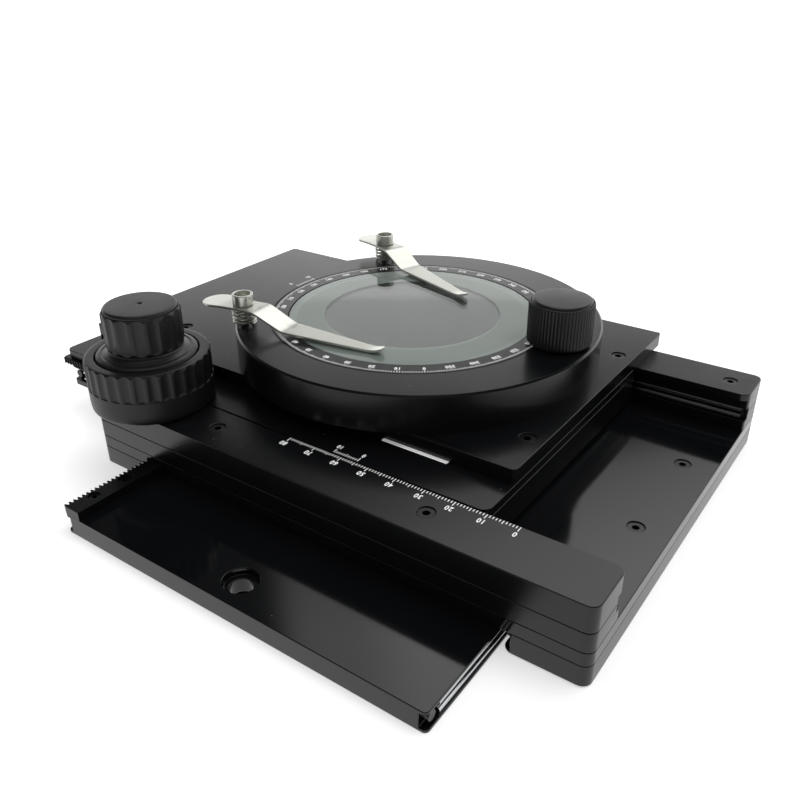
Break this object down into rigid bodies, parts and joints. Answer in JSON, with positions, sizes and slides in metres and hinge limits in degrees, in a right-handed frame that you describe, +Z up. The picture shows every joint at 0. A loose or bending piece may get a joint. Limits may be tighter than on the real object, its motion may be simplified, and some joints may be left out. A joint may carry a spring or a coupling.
{
  "type": "mechanical microscope stage",
  "caption": "Microscope stage with rack-driven X and Y travels on ball ways, coaxial knobs, and a rotary glass insert with a degree dial and spring clips.",
  "frame": {"origin": "axis of the base plate's light port, on the underside of the base plate", "axes": "+Z up, +Y away from the user, +X to the right along the scale bar"},
  "size_m": [0.2261, 0.1873, 0.0596],
  "materials": {
    "black_anodised": "black anodised, satin",
    "gloss_black": "black anodised, glossy",
    "rod_steel": "ground and hardened",
    "dark_steel": "blackened",
    "ball_steel": "polished",
    "cage_brass": "sheet, bright",
    "bush_bronze": "turned",
    "shaft_steel": "turned",
    "knob_plastic": "moulded, matte",
    "clip_nickel": "nickel plated, satin",
    "stage_glass": "clear"
  },
  "bodies": {
    "base": {"base_plate": "gloss_black", "y_rack": "dark_steel", "y_rack_screws": "dark_steel", "base_rods": "rod_steel", "y_stop_screws": "dark_steel"},
    "y_frame": {"main_plate": "gloss_black", "left_rail": "black_anodised", "right_rail": "black_anodised", "rail_rods": "rod_steel", "rail_screws": "dark_steel", "front_lower_bar": "black_anodised", "back_lower_bar": "black_anodised", "front_scale_bar": "black_anodised", "back_upper_bar": "black_anodised", "bar_rods": "rod_steel", "bar_screws": "dark_steel", "shaft_bush": "bush_bronze"},
    "y_ball_ways": {"y_cages": "cage_brass", "y_balls": "ball_steel"},
    "x_ball_ways": {"x_cages": "cage_brass", "x_balls": "ball_steel"},
    "x_carriage": {"slide_plate": "gloss_black", "slide_rods": "rod_steel", "x_stop_screws": "dark_steel", "x_rack": "dark_steel", "x_rack_screws": "dark_steel", "vernier_plate": "black_anodised", "top_plate": "black_anodised", "top_plate_screws": "dark_steel", "ring_housing": "black_anodised", "ring_screws": "dark_steel", "clip_studs": "clip_nickel", "clip_springs": "rod_steel"},
    "rotary_dial": {"dial": "black_anodised", "dial_retainer": "black_anodised", "retainer_screws": "dark_steel", "stage_glass": "stage_glass"},
    "ring_drive": {"ring_pinion_shaft": "shaft_steel", "ring_knob": "knob_plastic", "ring_knob_cap": "knob_plastic"},
    "x_drive": {"large_knob": "knob_plastic", "x_pinion_shaft": "shaft_steel"},
    "y_drive": {"small_knob": "knob_plastic", "small_knob_cap": "knob_plastic", "y_pinion_shaft": "shaft_steel"},
    "left_clip": {"left_clip_leaf": "clip_nickel"},
    "right_clip": {"right_clip_leaf": "clip_nickel"}
  },
  "joints": [
    {"name": "y_slide", "type": "slide", "parent": "base", "child": "y_frame", "axis": [0, 1, 0], "range_m": [-0.04, 0.01]},
    {"name": "y_cage_slide", "type": "slide", "parent": "base", "child": "y_ball_ways", "axis": [0, 1, 0], "range_m": [-0.0201, 0.0051]},
    {"name": "y_knob_turn", "type": "hinge", "parent": "y_frame", "child": "y_drive", "pos_m": [-0.07285, -0.046, 0.05], "axis": [0, 0, 1], "range_deg": [-90, 355]},
    {"name": "x_slide", "type": "slide", "parent": "y_frame", "child": "x_carriage", "axis": [1, 0, 0], "range_m": [-0.018, 0.055]},
    {"name": "x_cage_slide", "type": "slide", "parent": "y_frame", "child": "x_ball_ways", "axis": [1, 0, 0], "range_m": [-0.0091, 0.0276]},
    {"name": "x_knob_turn", "type": "hinge", "parent": "y_frame", "child": "x_drive", "pos_m": [-0.07285, -0.046, 0.035], "axis": [0, 0, 1], "range_deg": [-487, 160]},
    {"name": "dial_turn", "type": "hinge", "parent": "x_carriage", "child": "rotary_dial", "pos_m": [-0.02005, 0.031, 0.04], "axis": [0, 0, 1], "continuous": true},
    {"name": "ring_knob_turn", "type": "hinge", "parent": "x_carriage", "child": "ring_drive", "pos_m": [0.03574, 0.03588, 0.05], "axis": [0, 0, 1], "continuous": true},
    {"name": "left_clip_swing", "type": "hinge", "parent": "x_carriage", "child": "left_clip", "pos_m": [-0.06285, -0.0109, 0.05], "axis": [0, 0, 1], "range_deg": [-30, 25]},
    {"name": "right_clip_swing", "type": "hinge", "parent": "x_carriage", "child": "right_clip", "pos_m": [-0.06285, 0.0729, 0.05], "axis": [0, 0, 1], "range_deg": [-25, 30]}
  ],
  "couplings": [
    {"joint": "y_cage_slide", "follows": "y_slide", "ratio": 0.5},
    {"joint": "y_knob_turn", "follows": "y_slide", "rad_per_m": -153.85},
    {"joint": "x_cage_slide", "follows": "x_slide", "ratio": 0.5},
    {"joint": "x_knob_turn", "follows": "x_slide", "rad_per_m": -153.85},
    {"joint": "ring_knob_turn", "follows": "dial_turn", "ratio": -8.3333}
  ]
}
